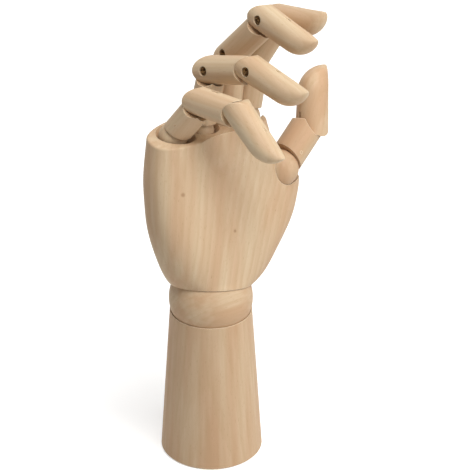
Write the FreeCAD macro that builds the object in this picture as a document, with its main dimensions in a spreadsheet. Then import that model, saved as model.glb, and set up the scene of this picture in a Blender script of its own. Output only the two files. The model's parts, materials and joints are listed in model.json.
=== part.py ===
"""Jointed wooden hand: a right hand on a tapered forearm block.

Millimetres, +Z up, origin at the centre of the forearm's underside.
The palm faces -Y and the thumb is on the +X side.

Local frames:
  wrist frame    at the centre of the wrist ball
  palm frame     the wrist frame leaned over, +Z towards the fingers, -Y the palm side
  anchor frame   at a knuckle ball's centre, +Z along the straight finger, +X along its hinges
  segment frame  at a segment's lower hinge, +Z along the segment
A bend turns a segment about its own +X, towards the palm side.
"""
import FreeCAD, Part
import math
import os

from FreeCAD import Placement, Rotation, Vector

FLAT_TOLERANCE = 1e-4
X_AXIS = Vector(1, 0, 0)
Y_AXIS = Vector(0, 1, 0)
Z_AXIS = Vector(0, 0, 1)
ORIGIN = Vector(0, 0, 0)

FINGERS = ("little", "ring", "middle", "index")
DIGITS = FINGERS + ("thumb",)

# Driving dimensions in mm and degrees
SIZES = {
    # forearm block
    "forearm_height": 99.0,
    "forearm_bottom_radius": 31.75,
    "forearm_top_radius": 25.3,
    "forearm_edge": 0.9,
    # wrist ball and its spring
    "wrist_ball_radius": 25.8,
    "wrist_half_gap": 8.0,
    "seat_clearance": 0.2,
    "wrist_bore_radius": 7.0,
    "wrist_mouth_radius": 10.5,
    "plug_length": 12.0,
    "wrist_pin_radius": 1.6,
    "wrist_pin_recess": 2.0,
    "forearm_pin_height": 24.0,
    "palm_pin_height": 40.0,
    "palm_bore_depth": 47.0,
    "ball_bore_radius": 4.5,
    "wrist_pin_hold": 7.0,
    "wrist_wire_radius": 1.0,
    "wrist_coil_radius": 5.0,
    "wrist_coil_pitch": 2.8,
    "wrist_coil_start": 34.0,
    "wrist_coil_length": 33.6,
    "wire_bend_radius": 6.0,
    "wire_eye_clearance": 0.3,
    # palm block, in the palm frame
    "palm_top": 111.0,
    "palm_crown_radius": 300.0,
    "palm_crown_length": 360.0,
    "palm_crown_across": 40.0,
    "palm_crown_tilt": 18.0,
    "palm_crown_edge": 1.4,
    "palm_rim_height": 8.4,
    "palm_rim_radius": 25.2,
    "palm_half_width": 53.6,
    "palm_depth": 22.5,
    "palm_dish_radius": 60.0,
    "palm_dish_depth": 4.2,
    "palm_dish_across": -4.0,
    "palm_dish_height": 103.0,
    # posture of the palm on the wrist ball
    "palm_lean_back": -14.9,
    "palm_lean_side": 11.0,
    # finger and thumb section
    "finger_radius": 8.75,
    "finger_tip_radius": 8.1,
    "thumb_radius": 10.4,
    "thumb_tip_radius": 9.6,
    "knuckle_ball_radius": 8.9,
    "thumb_ball_radius": 11.6,
    "finger_lip": 5.8,
    "thumb_lip": 8.8,
    "lip_slant": 12.0,
    "ball_slot_turn": 20.0,
    "channel_clearance": 0.9,
    "scoop_depth": 4.0,
    "scoop_flare": 24.0,
    "scoop_reach": 45.0,
    # hinges above the knuckles
    "joint_clearance": 0.22,
    "middle_bend_most": 78.0,
    "tip_bend_most": 72.0,
    "thumb_bend_most": 72.0,
    "kerf_width": 1.6,
    "kerf_clearance": 0.8,
    "saw_mark_radius": 6.0,
    "saw_mark_depth": 1.2,
    "middle_mark_height": 8.0,
    "tip_mark_height": 16.0,
    "plate_thickness": 1.2,
    "plate_width": 7.0,
    "plate_hold": 8.8,
    "pin_radius": 1.5,
    "pin_running": 0.06,
    "pin_head_radius": 2.7,
    "pin_head_height": 0.9,
    "pin_head_edge": 0.35,
    "pin_head_room": 0.25,
    "pin_recess": 2.0,
    "pin_cover": 1.6,
    # fingertips
    "pad_length": 17.5,
    # springs in the knuckles
    "knuckle_bore_radius": 2.6,
    "knuckle_mouth_radius": 3.9,
    "knuckle_wire_radius": 0.6,
    "knuckle_coil_radius": 1.7,
    "knuckle_coil_pitch": 1.7,
    "knuckle_coil_length": 13.6,
    "knuckle_coil_gap": 4.0,
    "knuckle_bend_radius": 4.0,
    "anchor_pin_radius": 1.0,
    "anchor_pin_height": 13.0,
    "anchor_pin_hold": 4.5,
    "anchor_bore_depth": 16.4,
    "spring_rod_radius": 1.2,
    "spring_rod_height": 70.0,
    "spring_rod_little_end": -36.0,
    "spring_rod_index_end": 49.0,
    "thumb_anchor_depth": 32.0,
    "thumb_anchor_hold": 2.6,
    "thumb_anchor_length": 32.0,
    "bore_overrun": 3.0,
    "cut_overrun": 20.0,
    # place of each knuckle ball in the palm frame, its turn and splay, the rest bends and the lengths
    "little_across": -28.5,
    "little_back": 0.0,
    "little_up": 101.5,
    "little_turn": 15.0,
    "little_splay": -4.0,
    "little_knuckle_bend": 47.0,
    "little_knuckle_most": 58.0,
    "little_middle_bend": 54.0,
    "little_tip_bend": 38.0,
    "little_proximal_length": 33.4,
    "little_middle_length": 30.6,
    "little_tip_length": 37.3,
    "ring_across": -9.3,
    "ring_back": 0.0,
    "ring_up": 103.0,
    "ring_turn": 12.0,
    "ring_splay": -2.0,
    "ring_knuckle_bend": 17.0,
    "ring_knuckle_most": 38.0,
    "ring_middle_bend": 69.0,
    "ring_tip_bend": 27.0,
    "ring_proximal_length": 40.3,
    "ring_middle_length": 34.0,
    "ring_tip_length": 42.0,
    "middle_across": 9.7,
    "middle_back": 0.0,
    "middle_up": 106.5,
    "middle_turn": 7.0,
    "middle_splay": -0.3,
    "middle_knuckle_bend": 7.8,
    "middle_knuckle_most": 22.0,
    "middle_middle_bend": 45.6,
    "middle_tip_bend": 58.8,
    "middle_proximal_length": 43.9,
    "middle_middle_length": 38.1,
    "middle_tip_length": 42.6,
    "index_across": 27.6,
    "index_back": 4.0,
    "index_up": 109.0,
    "index_turn": 4.7,
    "index_splay": 1.4,
    "index_knuckle_bend": 11.0,
    "index_knuckle_most": 24.0,
    "index_middle_bend": 28.9,
    "index_tip_bend": 51.3,
    "index_proximal_length": 37.4,
    "index_middle_length": 33.8,
    "index_tip_length": 40.1,
    "thumb_across": 42.8,
    "thumb_back": -11.5,
    "thumb_up": 77.6,
    "thumb_turn": -95.7,
    "thumb_splay": 123.1,
    "thumb_pitch": 76.2,
    "thumb_knuckle_bend": 3.0,
    "thumb_knuckle_most": 38.0,
    "thumb_tip_bend": 38.8,
    "thumb_proximal_length": 39.0,
    "thumb_tip_length": 33.8,
}

# The palm block's sections above its rim: shares of its height, and of its half width and depth there
PALM_HEIGHT_SHARES = (0.11, 0.235, 0.369, 0.503, 0.637, 0.77, 0.905, 1.1)
PALM_WIDTH_SHARES = (0.683, 0.808, 0.918, 0.98, 1.0, 0.91, 0.784, 0.724)
PALM_SHIFT_SHARES = (0.052, 0.077, 0.112, 0.136, 0.134, 0.056, -0.047, -0.037)
PALM_FRONT_SHARES = (1.09, 1.07, 1.02, 0.98, 0.93, 0.87, 0.78, 0.7)
PALM_BACK_SHARES = (1.03, 1.0, 0.96, 0.93, 0.9, 0.85, 0.76, 0.68)
PALM_SQUARENESS = (2.15, 2.4, 2.65, 2.7, 2.7, 2.7, 2.7, 2.7)
ROUND_SQUARENESS = 2.0
SECTION_POINTS = 48
# A fingertip's pad: how many round sections, and how far round its quarter ellipse the last one lies
PAD_SECTIONS = 8
PAD_LAST_ANGLE = 86.0
# How high on the palm its crown edge starts, and how deep its face is at the hollow
CROWN_EDGE_SHARE = 0.8
DISH_FACE_SHARE = 0.86

doc = FreeCAD.newDocument("WoodenHand")
sheet = doc.addObject("Spreadsheet::Sheet", "Sizes")
for row, (alias, number) in enumerate(SIZES.items(), start=1):
    sheet.set("A%d" % row, alias)
    sheet.set("B%d" % row, str(number))
    sheet.setAlias("B%d" % row, alias)
doc.recompute()

nodes = {}


def size(alias):
    """A driving dimension, read back from its cell."""
    return float(sheet.get(alias))


def bind(thing, **bindings):
    """Ties properties to formulas of the sheet's cells; each cell is written in braces."""
    for name, formula in bindings.items():
        thing.setExpression(name, formula.replace("{", "Sizes.").replace("}", ""))
    return thing


def finish(name, thing, frame):
    """Names a finished piece and puts it in its place."""
    thing.Label = name
    thing.Placement = frame
    nodes[name] = thing
    return thing


def stand(thing, frame=Placement()):
    """Places a construction piece in its own frame."""
    thing.Placement = frame
    return thing


def turned(axis, angle, place=ORIGIN):
    return Placement(place, Rotation(axis, angle))


def ball(radius, place=ORIGIN):
    """A sphere about a point."""
    return stand(bind(doc.addObject("Part::Sphere", "Ball"), Radius=radius), turned(Z_AXIS, 0, place))


def rod(radius, height, start=0.0):
    """A cylinder on +Z from a height; the radius and the height are formulas."""
    thing = bind(doc.addObject("Part::Cylinder", "Rod"), Radius=radius, Height=height)
    return stand(thing, turned(Z_AXIS, 0, Vector(0, 0, start)))


def taper(low_radius, high_radius, height, start=0.0):
    """A cone on +Z from a height."""
    thing = bind(doc.addObject("Part::Cone", "Taper"), Radius1=low_radius, Radius2=high_radius, Height=height)
    return stand(thing, turned(Z_AXIS, 0, Vector(0, 0, start)))


def bar_across(radius, length, low_end, place=ORIGIN):
    """A cylinder along +X whose low end is at an X place, about a point's Y and Z."""
    thing = bind(doc.addObject("Part::Cylinder", "BarAcross"), Radius=radius, Height=length)
    return stand(thing, turned(Y_AXIS, 90, place + Vector(low_end, 0, 0)))


def bar_deep(radius, length, low_end, place=ORIGIN):
    """A cylinder along +Y whose low end is at a Y place, about a point's X and Z."""
    thing = bind(doc.addObject("Part::Cylinder", "BarDeep"), Radius=radius, Height=length)
    return stand(thing, turned(X_AXIS, -90, place + Vector(0, low_end, 0)))


def block(length, width, height, corner):
    """A box from its low corner; its three sides are formulas."""
    thing = bind(doc.addObject("Part::Box", "Block"), Length=length, Width=width, Height=height)
    return stand(thing, turned(Z_AXIS, 0, corner))


def joined(*things):
    """One solid from several."""
    if len(things) == 1:
        return things[0]
    thing = doc.addObject("Part::MultiFuse", "Joined")
    thing.Shapes = list(things)
    return thing


def cut(base, *tools):
    """A base less its tools."""
    thing = doc.addObject("Part::Cut", "Cut")
    thing.Base = base
    thing.Tool = joined(*tools)
    return thing


def shared(*things):
    """What several solids have in common."""
    thing = doc.addObject("Part::MultiCommon", "Shared")
    thing.Shapes = list(things)
    return thing


def chamfered(base, length, chosen):
    """Chamfers the edges of a base that a test chooses."""
    doc.recompute()
    thing = doc.addObject("Part::Chamfer", "Chamfered")
    thing.Base = base
    edges = enumerate(base.Shape.Edges, start=1)
    thing.Edges = [(number, length, length) for number, edge in edges if chosen(edge)]
    return thing


def rounded(base, radius, chosen):
    """Rounds the edges of a base that a test chooses."""
    doc.recompute()
    thing = doc.addObject("Part::Fillet", "Rounded")
    thing.Base = base
    edges = enumerate(base.Shape.Edges, start=1)
    thing.Edges = [(number, radius, radius) for number, edge in edges if chosen(edge)]
    return thing


def at_height(height):
    """Chooses the edges that lie flat at a height."""
    return lambda edge: abs(edge.BoundBox.ZMin - height) + abs(edge.BoundBox.ZMax - height) < FLAT_TOLERANCE


# Frames, worked out from the posture
WRIST_HEIGHT = size("forearm_height") + size("wrist_half_gap")
WRIST_FRAME = Placement(Vector(0, 0, WRIST_HEIGHT), Rotation())
BALL_FRAME = WRIST_FRAME * turned(Y_AXIS, size("palm_lean_side"))
PALM_FRAME = BALL_FRAME * turned(X_AXIS, size("palm_lean_back"))


def anchor_in_palm(digit):
    """A knuckle ball's frame within the palm frame."""
    place = Vector(size(digit + "_across"), size(digit + "_back"), size(digit + "_up"))
    pitch = size("thumb_pitch") if digit == "thumb" else 0
    turn = Rotation(Z_AXIS, size(digit + "_turn")) * Rotation(X_AXIS, pitch)
    return Placement(place, Rotation(Y_AXIS, size(digit + "_splay")) * turn)


def digit_radius(digit):
    return "{thumb_radius}" if digit == "thumb" else "{finger_radius}"


def ball_radius(digit):
    return "{thumb_ball_radius}" if digit == "thumb" else "{knuckle_ball_radius}"


def moved(thing, frame):
    """Carries a finished tool or piece from its own frame into another."""
    thing.Placement = frame * thing.Placement
    return thing


def make_forearm():
    """Turned block: a taper with a seat for the ball on top, a bore and a cross hole for the spring."""
    body = doc.addObject("PartDesign::Body", "ForearmBody")
    block_taper = body.newObject("PartDesign::AdditiveCone", "BlockTaper")
    bind(block_taper, Radius1="{forearm_bottom_radius}", Radius2="{forearm_top_radius}", Height="{forearm_height}")
    seat = body.newObject("PartDesign::SubtractiveSphere", "BallSeat")
    bind(seat, Radius="{wrist_ball_radius} + {seat_clearance}")
    seat.Placement = WRIST_FRAME
    bore = body.newObject("PartDesign::SubtractiveCylinder", "SpringBore")
    bind(bore, Radius="{wrist_bore_radius}", Height="{forearm_height}")
    cross = body.newObject("PartDesign::SubtractiveCylinder", "CrossHole")
    bind(cross, Radius="{wrist_pin_radius}", Height="{wrist_bore_radius} + {wrist_pin_hold} + {forearm_bottom_radius}")
    low_end = -size("wrist_bore_radius") - size("wrist_pin_hold")
    cross.Placement = turned(X_AXIS, -90, Vector(0, low_end, size("forearm_pin_height")))
    doc.recompute()
    edge = body.newObject("PartDesign::Chamfer", "FootEdge")
    outer = [
        "Edge%d" % number
        for number, found in enumerate(cross.Shape.Edges, start=1)
        if at_height(0)(found) and found.Length > 2 * math.pi * size("forearm_top_radius")
    ]
    edge.Base = (cross, outer)
    bind(edge, Size="{forearm_edge}")
    body.Tip = edge
    return finish("forearm", body, Placement())


def forearm_radius_at(height):
    share = height / size("forearm_height")
    return size("forearm_bottom_radius") * (1 - share) + size("forearm_top_radius") * share


def make_forearm_fittings():
    """The plug that closes the bore and the cross pin that holds the spring's lower eye."""
    finish("base_plug", rod("{wrist_bore_radius}", "{plug_length}"), Placement())
    height = size("forearm_pin_height")
    low_end = -size("wrist_bore_radius") - size("wrist_pin_hold")
    length = forearm_radius_at(height) - size("wrist_pin_recess") - low_end
    pin = bar_deep("{wrist_pin_radius}", "%r" % length, low_end, Vector(0, 0, height))
    finish("forearm_spring_pin", pin, pin.Placement)


def coil(radius, pitch, length, wire_radius):
    """An open coil on +Z from the origin, with a leg from each end in to its axis."""
    helix = Part.makeHelix(pitch, length, radius)
    start = Vector(radius, 0, 0)
    tangent = Vector(0, 2 * math.pi * radius, pitch)
    section = Part.Wire([Part.makeCircle(wire_radius, start, tangent)])
    turns = Part.Wire(helix.Edges).makePipeShell([section], True, True)
    last = helix.Edges[-1].valueAt(helix.Edges[-1].LastParameter)
    foot = Vector(0, 0, last.z)
    legs = [
        Part.makeCylinder(wire_radius, radius, ORIGIN, X_AXIS),
        Part.makeCylinder(wire_radius, radius, foot, last - foot),
    ]
    return turns.fuse(legs)


def bent_wire(low_end, bend_point, direction, reach, bend_radius, wire_radius):
    """A round wire up +Z from a low end, round a bend at a point, and on along a direction."""
    bend = Z_AXIS.getAngle(direction)
    trim = bend_radius * math.tan(bend / 2)
    before = bend_point - Z_AXIS * trim
    after = bend_point + direction * trim
    inward = (direction - Z_AXIS).normalize()
    centre = bend_point + inward * (bend_radius / math.cos(bend / 2))
    middle = centre - inward * bend_radius
    path = Part.Wire([
        Part.LineSegment(low_end, before).toShape(),
        Part.Arc(before, middle, after).toShape(),
        Part.LineSegment(after, bend_point + direction * reach).toShape(),
    ])
    section = Part.Wire([Part.makeCircle(wire_radius, low_end, Z_AXIS)])
    return path.makePipeShell([section], True, False)


def eye(place, axis, pin_radius, wire_radius):
    """A wire eye round a pin."""
    return Part.makeTorus(eye_radius(pin_radius, wire_radius), wire_radius, place, axis)


def eye_radius(pin_radius, wire_radius):
    return pin_radius + size("wire_eye_clearance") + wire_radius


def one_solid(pieces):
    """Fuses the stretches of a wire."""
    feature = doc.addObject("Part::Feature", "Wire")
    feature.Shape = pieces[0].fuse(pieces[1:])
    return feature


def make_wrist_spring():
    """Tension spring: an eye on the forearm's pin, a coil in the bore, a wire through the ball, an eye in the palm."""
    wire = size("wrist_wire_radius")
    ring = eye_radius(size("wrist_pin_radius"), wire)
    low_pin = Vector(0, 0, size("forearm_pin_height"))
    high_pin = PALM_FRAME.multVec(Vector(0, 0, size("palm_pin_height")))
    start = Vector(0, 0, size("wrist_coil_start"))
    turns = coil(size("wrist_coil_radius"), size("wrist_coil_pitch"), size("wrist_coil_length"), wire)
    turns.translate(start)
    top = start + Vector(0, 0, size("wrist_coil_length"))
    direction = PALM_FRAME.Rotation.multVec(Z_AXIS)
    centre = WRIST_FRAME.Base
    reach = size("palm_pin_height") - ring
    pieces = [
        turns,
        Part.makeCylinder(wire, start.z - low_pin.z - ring, low_pin + Z_AXIS * ring, Z_AXIS),
        bent_wire(top, centre, direction, reach, size("wire_bend_radius"), wire),
        eye(low_pin, Y_AXIS, size("wrist_pin_radius"), wire),
        eye(high_pin, PALM_FRAME.Rotation.multVec(Y_AXIS), size("wrist_pin_radius"), wire),
    ]
    finish("wrist_spring", one_solid(pieces), Placement())


def make_wrist_ball():
    """Turned ball with a waisted bore, so that it can lean on the spring."""
    reach = size("wrist_ball_radius")
    bore = joined(
        taper("{wrist_mouth_radius}", "{ball_bore_radius}", "{wrist_ball_radius}", -reach),
        taper("{ball_bore_radius}", "{wrist_mouth_radius}", "{wrist_ball_radius}"),
    )
    finish("wrist_ball", cut(ball("{wrist_ball_radius}"), bore), BALL_FRAME)


def palm_section(height, half_width, shift, front, back, squareness):
    """A closed, rounded outline of the palm block at a height."""
    power = ROUND_SQUARENESS / squareness
    points = []
    for step in range(SECTION_POINTS):
        angle = 2 * math.pi * step / SECTION_POINTS
        across = math.cos(angle)
        deep = math.sin(angle)
        depth = front if deep < 0 else back
        x = shift + half_width * math.copysign(abs(across) ** power, across)
        y = depth * math.copysign(abs(deep) ** power, deep)
        points.append(Vector(x, y, height))
    outline = Part.BSplineCurve()
    outline.interpolate(Points=points, PeriodicFlag=True)
    return Part.Wire([outline.toShape()])


def palm_blank():
    """The palm block before its seats are cut: a round rim that swells to a broad, flattened hand."""
    rim = size("palm_rim_radius")
    low = size("palm_rim_height")
    tall = size("palm_top") - low
    width = size("palm_half_width")
    depth = size("palm_depth")
    sections = [palm_section(low, rim, 0, rim, rim, ROUND_SQUARENESS)]
    shares = zip(PALM_HEIGHT_SHARES, PALM_WIDTH_SHARES, PALM_SHIFT_SHARES,
                 PALM_FRONT_SHARES, PALM_BACK_SHARES, PALM_SQUARENESS)
    for up, wide, shift, front, back, squareness in shares:
        sections.append(palm_section(low + tall * up, width * wide, width * shift,
                                     depth * front, depth * back, squareness))
    feature = doc.addObject("Part::Feature", "PalmBlank")
    feature.Shape = Part.makeLoft(sections, True, False)
    crown_centre = Vector(size("palm_crown_across"), 0, size("palm_top") - size("palm_crown_radius"))
    crown = bar_deep("{palm_crown_radius}", "{palm_crown_length}", -size("palm_crown_length") / 2, crown_centre)
    top = Vector(0, 0, size("palm_top"))
    moved(crown, Placement(top, Rotation(X_AXIS, size("palm_crown_tilt"))) * Placement(top * -1, Rotation()))
    crowned = shared(feature, crown)
    upper = size("palm_top") * CROWN_EDGE_SHARE
    return rounded(crowned, size("palm_crown_edge"), lambda edge: edge.BoundBox.ZMin > upper)


def knuckle_room(digit):
    """What a knuckle ball and its finger need cut from the palm, in the anchor frame."""
    seat = ball_radius(digit) + " + {seat_clearance}"
    channel = digit_radius(digit) + " + {channel_clearance}"
    seat_size = size("thumb_ball_radius" if digit == "thumb" else "knuckle_ball_radius") + size("seat_clearance")
    depth = size("scoop_depth")
    mouth = math.sqrt(seat_size ** 2 - depth ** 2)
    widening = size("scoop_reach") * math.tan(math.radians(size("scoop_flare")))
    scoop = taper("%r" % mouth, "%r" % (mouth + widening), "{scoop_reach}", -depth)
    bent = turned(X_AXIS, size(digit + "_knuckle_most"))
    groove = moved(rod(channel, "{scoop_reach}"), bent)
    half = size(digit_size(digit)) + size("channel_clearance")
    sweep = moved(block("2 * (%s)" % channel, "{scoop_reach}", "{scoop_reach}", Vector(-half, 0, 0)), bent)
    bore_depth = anchor_depth(digit) + size("bore_overrun")
    bore = rod("{knuckle_bore_radius}", "%r" % bore_depth, -bore_depth)
    room = joined(ball(seat), scoop, groove, sweep, bore)
    return moved(room, anchor_in_palm(digit))


def digit_size(digit):
    return "thumb_radius" if digit == "thumb" else "finger_radius"


def anchor_depth(digit):
    """How far below a knuckle ball's centre its spring is hooked."""
    if digit == "thumb":
        return size("thumb_anchor_depth")
    lean = math.cos(math.radians(size(digit + "_splay")))
    return (size(digit + "_up") - size("spring_rod_height")) / lean


def spring_rod(end_overrun=0.0):
    """The rod across the palm that holds the four finger springs."""
    low = size("spring_rod_little_end")
    length = "%r" % (size("spring_rod_index_end") - low + end_overrun)
    return bar_across("{spring_rod_radius}", length, low, Vector(0, 0, size("spring_rod_height")))


def thumb_pin(end_overrun=0.0):
    """The pin from the back of the palm that holds the thumb spring."""
    length = size("thumb_anchor_length") + end_overrun
    low = size("knuckle_bore_radius") + size("thumb_anchor_hold") - length
    pin = bar_across("{anchor_pin_radius}", "%r" % length, low, Vector(0, 0, -size("thumb_anchor_depth")))
    return moved(pin, anchor_in_palm("thumb"))


def palm_pin(length):
    """The pin from the back of the palm that holds the wrist spring."""
    low = -size("wrist_bore_radius") - size("wrist_pin_hold")
    return bar_deep("{wrist_pin_radius}", length, low, Vector(0, 0, size("palm_pin_height")))


def make_palm():
    """Carved block with seats for the wrist ball and the five knuckle balls, bores and a soft hollow."""
    dish_out = size("palm_dish_radius") - size("palm_dish_depth")
    dish_face = size("palm_depth") * DISH_FACE_SHARE
    dish_centre = Vector(size("palm_dish_across"), -dish_face - dish_out, size("palm_dish_height"))
    tools = [
        ball("{wrist_ball_radius} + {seat_clearance}"),
        rod("{wrist_bore_radius}", "{palm_bore_depth}"),
        ball("{palm_dish_radius}", dish_centre),
        spring_rod(size("cut_overrun")),
        thumb_pin(size("cut_overrun")),
        palm_pin("{wrist_bore_radius} + {wrist_pin_hold} + 2 * {palm_depth}"),
    ]
    tools += [knuckle_room(digit) for digit in DIGITS]
    finish("palm", cut(palm_blank(), *tools), PALM_FRAME)
    pin = palm_pin("{wrist_bore_radius} + {wrist_pin_hold} + {palm_depth} - {wrist_pin_recess} * 2")
    finish("palm_spring_pin", pin, PALM_FRAME * pin.Placement)
    across = spring_rod()
    finish("finger_spring_rod", across, PALM_FRAME * across.Placement)
    anchor = thumb_pin()
    finish("thumb_spring_anchor", anchor, PALM_FRAME * anchor.Placement)


def hinge_cup(radius, bend_most, height):
    """What a hinge cuts from the top of the segment below: a cup, a saddle for the bend and the plate's slot."""
    reach = 2 * size(radius)
    round_room = "{%s} + {joint_clearance}" % radius
    cup = bar_across(round_room, "4 * {%s}" % radius, -reach, Vector(0, 0, height))
    saddle = rod(round_room, "3 * {%s}" % radius)
    moved(saddle, turned(X_AXIS, size(bend_most), Vector(0, 0, height)))
    depth = size(radius) + size("plate_hold")
    corner = Vector(-size("plate_thickness") / 2, -size("plate_width") / 2, height - depth)
    slot = block("{plate_thickness}", "{plate_width}", "%s + {%s}" % ("{plate_hold}", radius), corner)
    return [cup, saddle, slot]


def half_round_end(radius, head_side, mark_height):
    """What a hinge cuts from a segment's lower end: corners, kerf, pivot's holes, and the saw's mark on the back."""
    reach = 2 * size(radius)
    over = size("bore_overrun")
    corner = Vector(-reach, -reach, -size(radius) - over)
    below = block("4 * {%s}" % radius, "4 * {%s}" % radius, "{%s} + {bore_overrun}" % radius, corner)
    corners = cut(below, bar_across("{%s}" % radius, "6 * {%s}" % radius, -3 * size(radius)))
    half_kerf = size("kerf_width") / 2
    kerf_room = "{plate_width} / 2 + {kerf_clearance}"
    kerf = block("{kerf_width}", "2 * {%s} + %s" % (radius, kerf_room),
                 "{%s} + {bore_overrun} + %s" % (radius, kerf_room), Vector(-half_kerf, -reach, -size(radius) - over))
    mark_place = Vector(0, size(radius) + size("saw_mark_radius") - size("saw_mark_depth"), mark_height)
    mark = bar_across("{saw_mark_radius}", "{kerf_width}", -half_kerf, mark_place)
    floor = size(radius) - size("pin_recess")
    blind = size(radius) - size("pin_cover")
    shaft_length = "2 * {%s} - {pin_recess} - {pin_cover}" % radius
    head_room = "{pin_head_radius} + {pin_head_room}"
    if head_side < 0:
        shaft = bar_across("{pin_radius}", shaft_length, -floor)
        sink = bar_across(head_room, "{%s}" % radius, -floor - size(radius))
    else:
        shaft = bar_across("{pin_radius}", shaft_length, -blind)
        sink = bar_across(head_room, "{%s}" % radius, floor)
    return [corners, kerf, mark, shaft, sink]


def pivot_pin(radius, head_side):
    """A headed pin across a half-round end, its head sunk in the side."""
    floor = size(radius) - size("pin_recess")
    blind = size(radius) - size("pin_cover")
    shaft_length = "2 * {%s} - {pin_recess} - {pin_cover}" % radius
    head_height = size("pin_head_height")
    if head_side < 0:
        shaft = bar_across("{pin_radius}", shaft_length, -floor)
        head = bar_across("{pin_head_radius}", "{pin_head_height}", -floor - head_height)
        face = -floor - head_height
    else:
        shaft = bar_across("{pin_radius}", shaft_length, -blind)
        head = bar_across("{pin_head_radius}", "{pin_head_height}", floor)
        face = floor + head_height

    def on_face(edge):
        box = edge.BoundBox
        return abs(box.XMin - face) + abs(box.XMax - face) < FLAT_TOLERANCE

    return chamfered(joined(shaft, head), size("pin_head_edge"), on_face)


def link_plate(radius, height):
    """A flat link: glued in the slot of the segment below, with an eye on the pivot pin above."""
    half = size("plate_thickness") / 2
    low = Vector(-half, -size("plate_width") / 2, height - size(radius) - size("plate_hold"))
    strap = block("{plate_thickness}", "{plate_width}", "{%s} + {plate_hold}" % radius, low)
    pivot = Vector(0, 0, height)
    nose = bar_across("{plate_width} / 2", "{plate_thickness}", -half, pivot)
    hole = bar_across("{pin_radius} + {pin_running}", "3 * {plate_thickness}", -3 * half, pivot)
    return cut(joined(strap, nose), hole)


def make_knuckle_ball(digit, frame):
    """Turned ball that bends with its finger: a bore for the spring, slotted below on the palm side."""
    radius = ball_radius(digit)
    reach = size("thumb_ball_radius" if digit == "thumb" else "knuckle_ball_radius")
    bore = size("knuckle_bore_radius")
    slot = block("2 * {knuckle_bore_radius}", radius, radius, Vector(-bore, -reach, -reach))
    moved(slot, turned(X_AXIS, size("ball_slot_turn")))
    passage = rod("{knuckle_bore_radius}", "2 * " + radius, -reach)
    flare = taper("{knuckle_bore_radius}", "{knuckle_mouth_radius}", radius)
    finish(digit + "_knuckle_ball", cut(ball(radius), slot, passage, flare), frame)


def make_knuckle_spring(digit, frame, bend):
    """Tension spring: an eye in the palm, a coil, a wire through the ball and an eye in the proximal segment."""
    wire = size("knuckle_wire_radius")
    depth = anchor_depth(digit)
    if digit == "thumb":
        low_pin = size("anchor_pin_radius")
        low_axis = X_AXIS
    else:
        low_pin = size("spring_rod_radius")
        low_axis = anchor_in_palm(digit).Rotation.inverted().multVec(X_AXIS)
    top = -size("thumb_ball_radius" if digit == "thumb" else "knuckle_ball_radius") - size("knuckle_coil_gap")
    start = top - size("knuckle_coil_length")
    turns = coil(size("knuckle_coil_radius"), size("knuckle_coil_pitch"), size("knuckle_coil_length"), wire)
    turns.translate(Vector(0, 0, start))
    direction = Rotation(X_AXIS, bend).multVec(Z_AXIS)
    ring = eye_radius(size("anchor_pin_radius"), wire)
    low_ring = eye_radius(low_pin, wire)
    low_place = Vector(0, 0, -depth)
    pieces = [
        turns,
        Part.makeCylinder(wire, start + depth - low_ring, low_place + Z_AXIS * low_ring, Z_AXIS),
        bent_wire(Vector(0, 0, top), ORIGIN, direction, size("anchor_pin_height") - ring,
                  size("knuckle_bend_radius"), wire),
        eye(low_place, low_axis, low_pin, wire),
        eye(direction * size("anchor_pin_height"), X_AXIS, size("anchor_pin_radius"), wire),
    ]
    finish(digit + "_spring", one_solid(pieces), frame)


def make_proximal(digit, frame, head_radius, bend_most):
    """The segment over the knuckle ball, with its spring pin and, above, the cup and link of the next hinge."""
    radius = digit_radius(digit)
    length = size(digit + "_proximal_length")
    lip = "thumb_lip" if digit == "thumb" else "finger_lip"
    body = rod(radius, "{%s_proximal_length}" % digit)
    reach = size(head_radius)
    wide = "4 * {%s}" % head_radius
    below = block(wide, wide, wide, Vector(-2 * reach, -2 * reach, -4 * reach))
    moved(below, turned(X_AXIS, -size("lip_slant"), Vector(0, 0, size(lip))))
    hold = size("knuckle_bore_radius") + size("anchor_pin_hold")
    height = Vector(0, 0, size("anchor_pin_height"))
    tools = [
        below,
        ball(ball_radius(digit) + " + {seat_clearance}"),
        rod("{knuckle_bore_radius}", "{anchor_bore_depth}"),
        bar_across("{anchor_pin_radius}", "%r" % (hold + 2 * reach), -hold, height),
    ]
    tools += hinge_cup(head_radius, bend_most, length)
    finish(digit + "_proximal", cut(body, *tools), frame)
    pin_length = "{knuckle_bore_radius} + {anchor_pin_hold} + {%s} - {wrist_pin_recess}" % head_radius
    pin = bar_across("{anchor_pin_radius}", pin_length, -hold, height)
    finish(digit + "_spring_pin", pin, frame * pin.Placement)


def make_middle(digit, frame, head_side):
    """The segment between two hinges, with its pivot pin."""
    length = size(digit + "_middle_length")
    body = rod("{finger_radius}", "{finger_radius} + {%s_middle_length}" % digit, -size("finger_radius"))
    tools = half_round_end("finger_radius", head_side, size("middle_mark_height"))
    tools += hinge_cup("finger_radius", "tip_bend_most", length)
    finish(digit + "_middle", cut(body, *tools), frame)
    finish(digit + "_middle_pivot", pivot_pin("finger_radius", head_side), frame)


def make_pad(tip_radius, start):
    """The end of a fingertip: its back runs on straight while its pad rises to a sharp tip, in round sections."""
    reach = size(tip_radius)
    rings = []
    for step in range(PAD_SECTIONS):
        rise = math.radians(PAD_LAST_ANGLE * step / (PAD_SECTIONS - 1))
        share = math.cos(rise)
        ring = bind(doc.addObject("Part::Circle", "PadRing"), Radius="{%s} * %r" % (tip_radius, share))
        place = Vector(0, reach * (1 - share), start + size("pad_length") * math.sin(rise))
        rings.append(stand(ring, turned(Z_AXIS, 0, place)))
    pad = doc.addObject("Part::Loft", "Pad")
    pad.Sections = rings
    pad.Solid = True
    pad.Ruled = False
    return pad


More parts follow.
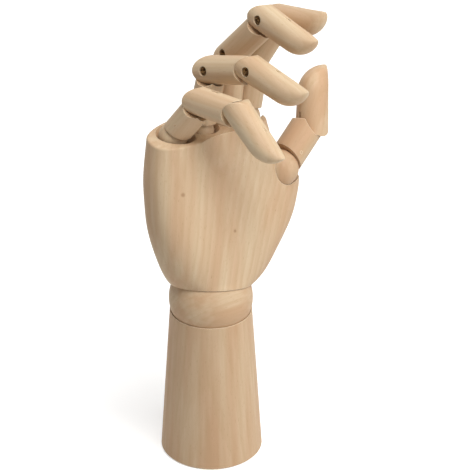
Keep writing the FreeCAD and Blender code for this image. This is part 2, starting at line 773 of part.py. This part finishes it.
def make_fingertip(digit, frame, head_side):
    """The last segment: a straight back and a rounded pad that runs up to a sharp tip, with its pivot pin."""
    radius = digit_size(digit)
    tip = "thumb_tip_radius" if digit == "thumb" else "finger_tip_radius"
    height = "{%s_tip_length} - {pad_length} + {%s}" % (digit, radius)
    body = taper("{%s}" % radius, "{%s}" % tip, height, -size(radius))
    claw = joined(body, make_pad(tip, size(digit + "_tip_length") - size("pad_length")))
    tools = half_round_end(radius, head_side, size("tip_mark_height"))
    finish(digit + "_fingertip", cut(claw, *tools), frame)
    finish(digit + "_tip_pivot", pivot_pin(radius, head_side), frame)


def make_digit(digit):
    """A finger or the thumb, from its knuckle ball to its tip."""
    radius = digit_size(digit)
    head_side = 1 if digit == "little" else -1
    anchor = PALM_FRAME * anchor_in_palm(digit)
    knuckle_bend = size(digit + "_knuckle_bend")
    make_knuckle_spring(digit, anchor, knuckle_bend)
    proximal = anchor * turned(X_AXIS, knuckle_bend)
    make_knuckle_ball(digit, proximal)
    length = size(digit + "_proximal_length")
    if digit == "thumb":
        make_proximal(digit, proximal, radius, "thumb_bend_most")
        finish("thumb_tip_link", link_plate(radius, length), proximal)
        tip = proximal * turned(X_AXIS, size("thumb_tip_bend"), Vector(0, 0, length))
    else:
        make_proximal(digit, proximal, radius, "middle_bend_most")
        finish(digit + "_middle_link", link_plate(radius, length), proximal)
        middle = proximal * turned(X_AXIS, size(digit + "_middle_bend"), Vector(0, 0, length))
        make_middle(digit, middle, head_side)
        length = size(digit + "_middle_length")
        finish(digit + "_tip_link", link_plate(radius, length), middle)
        tip = middle * turned(X_AXIS, size(digit + "_tip_bend"), Vector(0, 0, length))
    make_fingertip(digit, tip, head_side)


def faults():
    """Says what went wrong in any object of the document or any finished piece."""
    found = []
    for thing in doc.Objects:
        if "Invalid" in thing.State or "Error" in thing.State:
            found.append("%s (%s) is %s" % (thing.Name, thing.Label, thing.State))
    for name, thing in nodes.items():
        shape = thing.Shape
        if shape.isNull() or not shape.isValid() or not shape.Solids:
            found.append("%s has no valid solid" % name)
        elif len(shape.Solids) != 1:
            found.append("%s has %d solids" % (name, len(shape.Solids)))
    return found


make_forearm()
make_forearm_fittings()
make_wrist_spring()
make_wrist_ball()
make_palm()
for digit in DIGITS:
    make_digit(digit)
doc.recompute()

problems = faults()
if problems:
    raise RuntimeError("; ".join(problems))

os.makedirs("parts", exist_ok=True)
for name, thing in nodes.items():
    thing.Shape.exportStep(os.path.join("parts", name + ".step"))
print("%d pieces written" % len(nodes))
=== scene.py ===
"""Wooden hand on its forearm block: the timber, the pins, the studio and the camera.

Metres, +Z up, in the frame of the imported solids. The palm faces -Y and the thumb is on the +X side.
"""
import json
import math

import bmesh
import bpy
from mathutils import Matrix, Vector


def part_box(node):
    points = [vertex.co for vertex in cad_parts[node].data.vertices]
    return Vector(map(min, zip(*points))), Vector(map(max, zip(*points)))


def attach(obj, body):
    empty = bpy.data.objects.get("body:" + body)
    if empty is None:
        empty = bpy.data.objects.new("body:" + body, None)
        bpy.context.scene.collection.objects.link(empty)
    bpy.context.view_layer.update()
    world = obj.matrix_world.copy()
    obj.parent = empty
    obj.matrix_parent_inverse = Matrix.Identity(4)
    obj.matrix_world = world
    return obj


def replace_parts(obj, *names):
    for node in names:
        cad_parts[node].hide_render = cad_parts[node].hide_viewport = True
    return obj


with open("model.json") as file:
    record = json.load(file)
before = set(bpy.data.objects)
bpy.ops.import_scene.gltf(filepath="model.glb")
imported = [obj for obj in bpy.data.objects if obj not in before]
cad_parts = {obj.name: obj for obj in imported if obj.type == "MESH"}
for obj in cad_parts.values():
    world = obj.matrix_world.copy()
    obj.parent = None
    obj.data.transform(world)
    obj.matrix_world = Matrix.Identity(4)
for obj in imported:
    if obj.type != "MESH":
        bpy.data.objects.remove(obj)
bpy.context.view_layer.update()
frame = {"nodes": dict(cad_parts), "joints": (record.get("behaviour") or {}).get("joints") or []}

MM = 0.001
JOINTS = {joint["name"]: joint for joint in frame["joints"]}

# Camera, fitted to the photograph
VIEW_AZIMUTH = -33.8
VIEW_ELEVATION = 29.3
VIEW_DISTANCE = 1.573
VIEW_HEIGHT = 0.1501
VIEW_SHIFT_RIGHT = 0.0148
FOCAL_PIXELS = 2600.0
IMAGE_PIXELS = 470.0
SENSOR_WIDTH = 36.0

# Studio: a pale floor, a dim room that the camera sees as white, and lamps with place, side and watts
FLOOR_HALF = 3.0
FLOOR_COLOUR = "#dedddb"
FLOOR_ROUGHNESS = 0.9
FLOOR_SPECULAR = 0.1
FLOOR_LIFT = 0.55
ROOM_COLOUR = "#f3f4f6"
ROOM_LIGHT = 0.16
ROOM_SEEN = 1.0
LIT_POINT = (0.0, 0.0, 0.16)
LAMPS = {
    "KeyFromRight": ((0.62, -1.2, 1.2), 1.3, 17.0),
    "FillFromLeft": ((-1.3, -0.9, 0.9), 1.2, 1.0),
    "TopBack": ((0.1, 1.1, 1.4), 0.9, 6.0),
    "Overhead": ((0.0, -0.6, 1.9), 0.9, 22.0),
}


def linear(colour, alpha=1.0):
    """An sRGB hex colour as linear red, green, blue and alpha."""
    parts = [int(colour[start:start + 2], 16) / 255 for start in (1, 3, 5)]
    toe, gain, lift, power = 0.04045, 12.92, 0.055, 2.4
    return tuple(c / gain if c <= toe else ((c + lift) / (1 + lift)) ** power for c in parts) + (alpha,)


# What Math nodes do most
TIMES = {"operation": "MULTIPLY"}
TIMES_PLUS = {"operation": "MULTIPLY_ADD"}
LARGER = {"operation": "MAXIMUM"}


def add(tree, kind, settings=None, out=0, **inputs):
    """Adds a node with its settings and links, and gives one of its outputs.

    An input is a value or another node's output, named by its socket or by n and the socket's number.
    """
    node = tree.nodes.new("ShaderNode" + kind)
    for key, value in (settings or {}).items():
        setattr(node, key, value)
    for key, value in inputs.items():
        numbered = key[0] == "n" and key[1:].isdigit()
        socket = node.inputs[int(key[1:]) if numbered else key.replace("_", " ")]
        if isinstance(value, bpy.types.NodeSocket):
            tree.links.new(value, socket)
        else:
            socket.default_value = value
    return node.outputs[out]


def seen_directly(tree):
    """1 for a ray that shows the background itself or its mirror image, and 0 for one that only lights."""
    rays = add(tree, "LightPath").node.outputs
    plain = add(tree, "Math", LARGER, n0=rays["Is Camera Ray"], n1=rays["Is Transmission Ray"])
    return add(tree, "Math", LARGER, n0=plain, n1=rays["Is Glossy Ray"])


def new_material(name):
    """An empty material, its node tree and its shader."""
    material = bpy.data.materials.new(name)
    material.use_nodes = True
    tree = material.node_tree
    return material, tree, tree.nodes["Principled BSDF"]


# Basswood, turned and sanded, unvarnished: pale cream with broad pinkish bands along the grain, faint
# growth lines, short fine flecks, and a paler colour along sharp edges, partly end grain sanded through and
# partly a painted highlight where an edge catches the light. Lengths are in mm
EARLY_WOOD = "#dbc6a6"
LATE_WOOD = "#ba986e"
PINK_CAST = "#cba684"
FLECK = "#a27a52"
EDGE_FUZZ_AND_HIGHLIGHT = "#f8e8c8"
KNOT = "#8c5f36"
RING_SPACING = 3.6
RING_WANDER = 5.0
RING_TAPER = 0.06
RING_RISE = (0.2, 0.93)
RING_FALL = (1.0, 0.9)
EDGE_WIDTH = 0.55
EDGE_FACING = (0.978, 0.93)
BEVEL_SAMPLES = 4
FIBRE_DEPTH = 0.02
FLECK_DEPTH_SHARE = 1.5
GRAIN_BUMP = 0.6
GRAIN_BREAK = 0.55
BAND_SHARE = 0.6
RING_SHARE = 0.15
STREAK_SHARE = 0.2
FIBRE_SHARE = 0.12
FLECK_SHARE = 0.35
SANDED_AND_LIT_EDGE_SHARE = 0.8
KNOT_SHARE = 0.5
KNOT_CORE_SHARE = 1 / 3
WOOD_ROUGHNESS = (0.5, 0.66)
WOOD_IOR = 1.45
WOOD_SPECULAR = 0.35

# Layers of the grain: the cells' width and length, the noise's detail and shift, and its values that
# become 0 and 1
GRAIN = {
    "wander": (24.0, 96.0, 2.0, 7.0, 0.0, 1.0),
    "band": (10.0, 240.0, 2.0, 41.0, 0.38, 0.62),
    "streak": (2.4, 90.0, 2.0, 3.0, 0.34, 0.7),
    "fibre": (0.55, 16.0, 3.0, 11.0, 0.3, 0.7),
    "fleck": (0.42, 3.4, 1.0, 23.0, 0.665, 0.76),
}
SHIFT_WAY = Vector((1, 2, 3))


def timber(name, origin, along, hinge, pith, shift, tone_and_shade=0.15, knots=(), fan=0.0):
    """Basswood whose grain runs along a direction from an origin; the pith lies off to one side.

    A higher tone is darker and redder wood, and also painted shade for a piece that gets less light.
    With a fan, the grain spreads as if from a point that far below the origin.
    """
    material, tree, shader = new_material(name)
    z_axis = Vector(along).normalized()
    x_axis = Vector(hinge)
    x_axis = (x_axis - z_axis * x_axis.dot(z_axis)).normalized()
    turn = Matrix((x_axis, z_axis.cross(x_axis), z_axis)).transposed().to_euler()
    place = add(tree, "TexCoord", out="Object")
    straight = add(tree, "Mapping", {"vector_type": "TEXTURE"}, Vector=place, Location=origin,
                   Rotation=turn, Scale=(MM, MM, MM))
    grain = straight
    if fan:
        apart = add(tree, "SeparateXYZ", Vector=straight).node.outputs
        reach = add(tree, "Math", {"operation": "ADD"}, n0=apart["Z"], n1=fan)
        gather = add(tree, "Math", {"operation": "DIVIDE"}, n0=fan, n1=reach)
        grain = add(tree, "CombineXYZ", X=add(tree, "Math", TIMES, n0=apart["X"], n1=gather),
                    Y=apart["Y"], Z=apart["Z"])
    layer = {}
    for layer_name, (wide, long, detail, layer_shift, low, high) in GRAIN.items():
        cells = add(tree, "Mapping", Vector=grain, Location=SHIFT_WAY * (shift + layer_shift),
                    Scale=(1 / wide, 1 / wide, 1 / long))
        noise = add(tree, "TexNoise", Vector=cells, Scale=1.0, Detail=detail, Roughness=GRAIN_BREAK)
        layer[layer_name] = add(tree, "MapRange", Value=noise, From_Min=low, From_Max=high)

    # Growth rings round the pith: each darkens slowly through the year and ends sharply
    centred = add(tree, "Mapping", Vector=grain, Location=(-pith[0], -pith[1], 0), Scale=(1, 1, RING_TAPER))
    radius = add(tree, "VectorMath", {"operation": "LENGTH"}, "Value", n0=centred)
    radius = add(tree, "Math", TIMES_PLUS, n0=layer["wander"], n1=RING_WANDER, n2=radius)
    years = add(tree, "Math", {"operation": "DIVIDE"}, n0=radius, n1=RING_SPACING)
    year = add(tree, "Math", {"operation": "FRACT"}, n0=years)
    rise, fall = (add(tree, "MapRange", Value=year, From_Min=low, From_Max=high)
                  for low, high in (RING_RISE, RING_FALL))
    late = add(tree, "Math", TIMES, n0=rise, n1=fall)

    # Tints over the early wood, each with its amount
    # Pink cast from the broad bands, plus the tone, which is partly painted shade
    pink_cast_and_shade = add(tree, "Math", TIMES_PLUS, n0=layer["band"], n1=BAND_SHARE, n2=tone_and_shade)
    dark = add(tree, "Math", TIMES, n0=layer["streak"], n1=STREAK_SHARE)
    dark = add(tree, "Math", TIMES_PLUS, n0=late, n1=RING_SHARE, n2=dark)
    dark = add(tree, "Math", TIMES_PLUS, n0=layer["fibre"], n1=FIBRE_SHARE, n2=dark)
    flecks = add(tree, "Math", TIMES, n0=layer["fleck"], n1=FLECK_SHARE)
    tints = [(pink_cast_and_shade, PINK_CAST), (dark, LATE_WOOD), (flecks, FLECK)]
    for centre, size in knots:
        away = add(tree, "VectorMath", {"operation": "DISTANCE"}, "Value", n0=straight, n1=centre)
        near = add(tree, "MapRange", Value=away, From_Min=size, From_Max=size * KNOT_CORE_SHARE,
                   To_Max=KNOT_SHARE)
        tints.append((near, KNOT))
    # Pale sharp edges: partly sanded-through end grain, partly a painted highlight where the edge catches
    # the light
    rounded = add(tree, "Bevel", {"samples": BEVEL_SAMPLES}, Radius=EDGE_WIDTH * MM)
    surface = add(tree, "NewGeometry", out="Normal")
    facing = add(tree, "VectorMath", {"operation": "DOT_PRODUCT"}, "Value", n0=rounded, n1=surface)
    soft, sharp = EDGE_FACING
    sanded_and_lit_edge = add(tree, "MapRange", Value=facing, From_Min=soft, From_Max=sharp, To_Max=SANDED_AND_LIT_EDGE_SHARE)
    tints.append((sanded_and_lit_edge, EDGE_FUZZ_AND_HIGHLIGHT))
    colour = linear(EARLY_WOOD)
    for amount, tint in tints:
        colour = add(tree, "Mix", {"data_type": "RGBA"}, 2, n0=amount, n6=colour, n7=linear(tint))
    tree.links.new(colour, shader.inputs["Base Color"])

    smooth, rough = WOOD_ROUGHNESS
    sanded = add(tree, "MapRange", Value=layer["fibre"], To_Min=smooth, To_Max=rough)
    tree.links.new(sanded, shader.inputs["Roughness"])
    pits = add(tree, "Math", TIMES, n0=layer["fleck"], n1=FLECK_DEPTH_SHARE)
    height = add(tree, "Math", {"operation": "SUBTRACT"}, n0=layer["fibre"], n1=pits)
    bump = add(tree, "Bump", Height=height, Distance=FIBRE_DEPTH * MM, Strength=GRAIN_BUMP, Normal=rounded)
    tree.links.new(bump, shader.inputs["Normal"])
    shader.inputs["IOR"].default_value = WOOD_IOR
    shader.inputs["Specular IOR Level"].default_value = WOOD_SPECULAR
    return material


METAL_DETAIL = 3.0
METAL_PATCHES = (0.35, 0.65)
METAL_DULLING = 0.12


def metal(name, colour, dark, roughness, patch):
    """A plain metal with duller, darker patches of a size in mm."""
    material, tree, shader = new_material(name)
    place = add(tree, "TexCoord", out="Object")
    noise = add(tree, "TexNoise", Vector=place, Scale=1 / (patch * MM), Detail=METAL_DETAIL)
    low, high = METAL_PATCHES
    clean = add(tree, "MapRange", Value=noise, From_Min=low, From_Max=high)
    shade = add(tree, "Mix", {"data_type": "RGBA"}, 2, n0=clean, n6=linear(dark), n7=linear(colour))
    tree.links.new(shade, shader.inputs["Base Color"])
    rough = add(tree, "MapRange", Value=noise, To_Min=roughness - METAL_DULLING,
                To_Max=roughness + METAL_DULLING)
    tree.links.new(rough, shader.inputs["Roughness"])
    shader.inputs["Metallic"].default_value = 1.0
    return material


def dress(node, material):
    """Gives a carried-over solid its finish."""
    materials = frame["nodes"][node].data.materials
    materials.clear()
    materials.append(material)


def joint_place(name):
    return Vector(JOINTS[name]["pos_m"])


def joint_axis(name):
    return Vector(JOINTS[name]["axis"]).normalized()


def box_centre(node):
    low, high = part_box(node)
    return (low + high) / 2


def corners(node, centre):
    """A solid's corners, seen from a point."""
    return [vertex.co - centre for vertex in frame["nodes"][node].data.vertices]


def new_piece(name, build, material, body):
    """Turns a finished bmesh into a piece that rides on a body."""
    mesh = bpy.data.meshes.new(name)
    build.to_mesh(mesh)
    build.free()
    mesh.materials.append(material)
    piece = bpy.data.objects.new(name, mesh)
    bpy.context.scene.collection.objects.link(piece)
    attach(piece, body)
    return piece


# Timber of the larger pieces: the name, where the grain starts and which way it runs, the way that it is
# squared to, the pith's place across the grain, the shift along the plank and the tone. The palm has knots
# too, each with its place in mm from the wrist's centre and its reach, and its grain fans out
UP = Vector((0, 0, 1))
ACROSS = Vector((1, 0, 0))
GROUND = Vector((0, 0, 0))
PALM_FAN = 210.0
PALM_KNOTS = (((-43.3, -14.2, 63.2), 1.7), ((-5.6, -20.4, 45.3), 1.3))
wrist_centre = joint_place("wrist_turn")
palm_up = (box_centre("palm") - wrist_centre).normalized()
# The tone is darker, redder wood and also painted shade: highest on the forearm and wrist ball, which get
# less light
LARGER_PIECES = {
    "forearm": ("BasswoodForearm", GROUND, UP, ACROSS, (64, 76), 1.0, 0.42),
    "base_plug": ("BasswoodPlug", GROUND, UP, ACROSS, (5, 14), 2.0, 0.15),
    "wrist_ball": ("BasswoodWristBall", wrist_centre, ACROSS, UP, (-42, 60), 3.0, 0.35),
    "palm": ("BasswoodPalm", wrist_centre, palm_up, ACROSS, (-130, 40), 4.0, 0.2, PALM_KNOTS, PALM_FAN),
}
for node, wood in LARGER_PIECES.items():
    dress(node, timber(*wood))

# Timber of the digits, each piece with its grain along its length, from a part of the plank of its own
# Each digit's tone is darker, redder wood and also painted shade: none on the little finger, whose tip
# faces the light, most on the thumb
DIGIT_TONE_AND_SHADE = {"little": 0.0, "ring": 0.15, "middle": 0.1, "index": 0.2, "thumb": 0.45}
DIGIT_PITH = Vector((38, 22))
PITH_PER_DIGIT = Vector((7, 0))
PITH_PER_PIECE = Vector((0, -9))
BALL_PITH = Vector((12, 15))
BALL_PITH_PER_DIGIT = Vector((3, 0))
FIRST_SHIFT = 5.0
SHIFT_PER_DIGIT = 3.0
BALL_SHIFT = 30.0
for number, (digit, tone_and_shade) in enumerate(DIGIT_TONE_AND_SHADE.items()):
    knuckle = joint_place(digit + "_knuckle")
    hinge = joint_axis(digit + "_knuckle")
    stops = [knuckle, joint_place(digit + "_tip_joint"), box_centre(digit + "_fingertip")]
    pieces = ["proximal", "fingertip"]
    if digit != "thumb":
        stops.insert(1, joint_place(digit + "_middle_joint"))
        pieces.insert(1, "middle")
    for order, piece in enumerate(pieces):
        node = digit + "_" + piece
        along = stops[order + 1] - stops[order]
        pith = DIGIT_PITH + PITH_PER_DIGIT * number + PITH_PER_PIECE * order
        shift = FIRST_SHIFT + SHIFT_PER_DIGIT * number + order
        dress(node, timber("Basswood_" + node, stops[order], along, hinge, pith, shift, tone_and_shade))
    pith = BALL_PITH + BALL_PITH_PER_DIGIT * number
    ball_wood = timber("Basswood_%s_ball" % digit, knuckle, UP, hinge, pith, BALL_SHIFT + number, tone_and_shade)
    dress(digit + "_knuckle_ball", ball_wood)

# Springs, pins and links: plain drawn and rolled steel, a dull grey deep in the wood
steel = metal("DrawnSteel", "#a6a39c", dark="#6d6a64", roughness=0.38, patch=1.6)
plate = metal("RolledSteel", "#8d8272", dark="#5c5347", roughness=0.5, patch=2.2)
for name in frame["nodes"]:
    if name.endswith("_link"):
        dress(name, plate)
    elif name.endswith(("_spring", "_pin", "_rod", "_anchor")):
        dress(name, steel)

# Tubular rivets, brass browned nearly black: a rolled rim with a warm glint round a funnel that stays dark.
# The rim's outline is in shares of the head's radius and mm below its face
RIVET_STEPS = 40
RIVET_RIM = ((1.0, 0.34), (0.99, 0.1), (0.94, 0.0), (0.84, 0.0), (0.74, 0.1), (0.6, 0.36), (0.44, 0.7),
             (0.4, 1.3), (0.0, 1.4))
ON_AXIS_SHARE = 1 / 4
SAME_POINT = 0.001
rivet = metal("BrownedBrass", "#7d5f3d", dark="#1d140c", roughness=0.4, patch=0.8)


def make_rivet(node, joint):
    """A rivet in the place of a pivot pin, with the pin's length, shank and head."""
    centre = joint_place(joint)
    axis = joint_axis(joint)
    spots = [(corner.dot(axis), (corner - axis * corner.dot(axis)).length)
             for corner in corners(node, centre)]
    head = max(out for place, out in spots)
    side = 1 if max(spots, key=lambda spot: spot[1])[0] > 0 else -1
    face = max(side * place for place, out in spots)
    tail = min(side * place for place, out in spots)
    shank = min(out for place, out in spots if out > head * ON_AXIS_SHARE)
    collar = min(side * place for place, out in spots if out > (head + shank) / 2)
    outline = [(0.0, tail), (shank, tail), (shank, collar), (head, collar)]
    outline += [(head * share, face - MM * drop) for share, drop in RIVET_RIM]
    build = bmesh.new()
    across = axis.orthogonal().normalized()
    dots = [build.verts.new(centre + across * out + axis * (side * place)) for out, place in outline]
    lines = [build.edges.new(pair) for pair in zip(dots, dots[1:])]
    bmesh.ops.spin(build, geom=dots + lines, cent=centre, axis=axis, angle=2 * math.pi, steps=RIVET_STEPS,
                   use_merge=True)
    bmesh.ops.remove_doubles(build, verts=build.verts, dist=SAME_POINT * MM)
    bmesh.ops.recalc_face_normals(build, faces=build.faces)
    for surface in build.faces:
        surface.smooth = True
    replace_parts(new_piece(node + "_rivet", build, rivet, JOINTS[joint]["child"]), node)


# Wooden plugs, sanded flush, over the outer ends of the spring pins
PLUG_STEPS = 28
PLUG_PROUD = 0.02
PLUG_PITH = (9, 21)
PLUG_SHIFT = 51.0
plug_wood = timber("BasswoodPinPlug", GROUND, UP, ACROSS, PLUG_PITH, PLUG_SHIFT)


def make_plug(digit, next_joint):
    """A plug between a spring pin's end and the surface of the segment that holds it."""
    centre = joint_place(digit + "_knuckle")
    along = (joint_place(next_joint) - centre).normalized()
    middle = box_centre(digit + "_spring_pin")
    foot = centre + along * (middle - centre).dot(along)
    outward = (middle - foot).normalized()
    pin = corners(digit + "_spring_pin", foot)
    start = max(corner.dot(outward) for corner in pin)
    radius = max(abs(corner.dot(along)) for corner in pin)
    wood = corners(digit + "_proximal", foot)
    surface = max((corner - along * corner.dot(along)).length for corner in wood) + PLUG_PROUD * MM
    build = bmesh.new()
    turn = outward.to_track_quat("Z", "Y").to_matrix().to_4x4()
    bmesh.ops.create_cone(build, cap_ends=True, segments=PLUG_STEPS, radius1=radius, radius2=radius,
                          depth=surface - start,
                          matrix=Matrix.Translation(foot + outward * (start + surface) / 2) @ turn)
    new_piece(digit + "_pin_plug", build, plug_wood, digit + "_proximal")


for digit in DIGIT_TONE_AND_SHADE:
    hinged = ["tip"] if digit == "thumb" else ["middle", "tip"]
    make_plug(digit, digit + "_" + hinged[0] + "_joint")
    for joint in hinged:
        make_rivet(digit + "_" + joint + "_pivot", digit + "_" + joint + "_joint")


def make_floor():
    """Matt painted board: a plain pale floor that keeps the hand's shadow."""
    mesh = bpy.data.meshes.new("Floor")
    build = bmesh.new()
    bmesh.ops.create_grid(build, x_segments=1, y_segments=1, size=FLOOR_HALF)
    build.to_mesh(mesh)
    build.free()
    floor = bpy.data.objects.new("Floor", mesh)
    bpy.context.scene.collection.objects.link(floor)
    material, tree, shader = new_material("PaintedBoard")
    shader.inputs["Base Color"].default_value = linear(FLOOR_COLOUR)
    shader.inputs["Roughness"].default_value = FLOOR_ROUGHNESS
    shader.inputs["Specular IOR Level"].default_value = FLOOR_SPECULAR
    shader.inputs["Emission Color"].default_value = (1, 1, 1, 1)
    lift = add(tree, "Math", TIMES, n0=seen_directly(tree), n1=FLOOR_LIFT)
    tree.links.new(lift, shader.inputs["Emission Strength"])
    mesh.materials.append(material)


def make_room():
    """Even, dim light from all round, white where the camera or a mirror image sees it."""
    world = bpy.data.worlds.new("Studio")
    bpy.context.scene.world = world
    world.use_nodes = True
    tree = world.node_tree
    sky = tree.nodes["Background"]
    sky.inputs["Color"].default_value = linear(ROOM_COLOUR)
    strength = add(tree, "MapRange", Value=seen_directly(tree), To_Min=ROOM_LIGHT, To_Max=ROOM_SEEN)
    tree.links.new(strength, sky.inputs["Strength"])


def make_lamps():
    """Square soft boxes that look at the hand."""
    for name, (place, side, watts) in LAMPS.items():
        lamp = bpy.data.lights.new(name, "AREA")
        lamp.size = side
        lamp.energy = watts
        thing = bpy.data.objects.new(name, lamp)
        thing.location = place
        thing.rotation_euler = (Vector(LIT_POINT) - Vector(place)).to_track_quat("-Z", "Y").to_euler()
        bpy.context.scene.collection.objects.link(thing)


def make_camera():
    """The photograph's viewing angle and framing."""
    azimuth = math.radians(VIEW_AZIMUTH)
    elevation = math.radians(VIEW_ELEVATION)
    right = Vector((math.cos(azimuth), math.sin(azimuth), 0))
    back = Vector((math.sin(azimuth) * math.cos(elevation), -math.cos(azimuth) * math.cos(elevation),
                   math.sin(elevation)))
    target = UP * VIEW_HEIGHT + right * VIEW_SHIFT_RIGHT
    data = bpy.data.cameras.new("Camera")
    data.sensor_width = SENSOR_WIDTH
    data.lens = FOCAL_PIXELS / IMAGE_PIXELS * SENSOR_WIDTH
    camera = bpy.data.objects.new("Camera", data)
    camera.location = target + back * VIEW_DISTANCE
    camera.rotation_euler = (-back).to_track_quat("-Z", "Y").to_euler()
    bpy.context.scene.collection.objects.link(camera)
    bpy.context.scene.camera = camera


make_floor()
make_room()
make_lamps()
make_camera()
bpy.context.scene.view_settings.view_transform = "Standard"
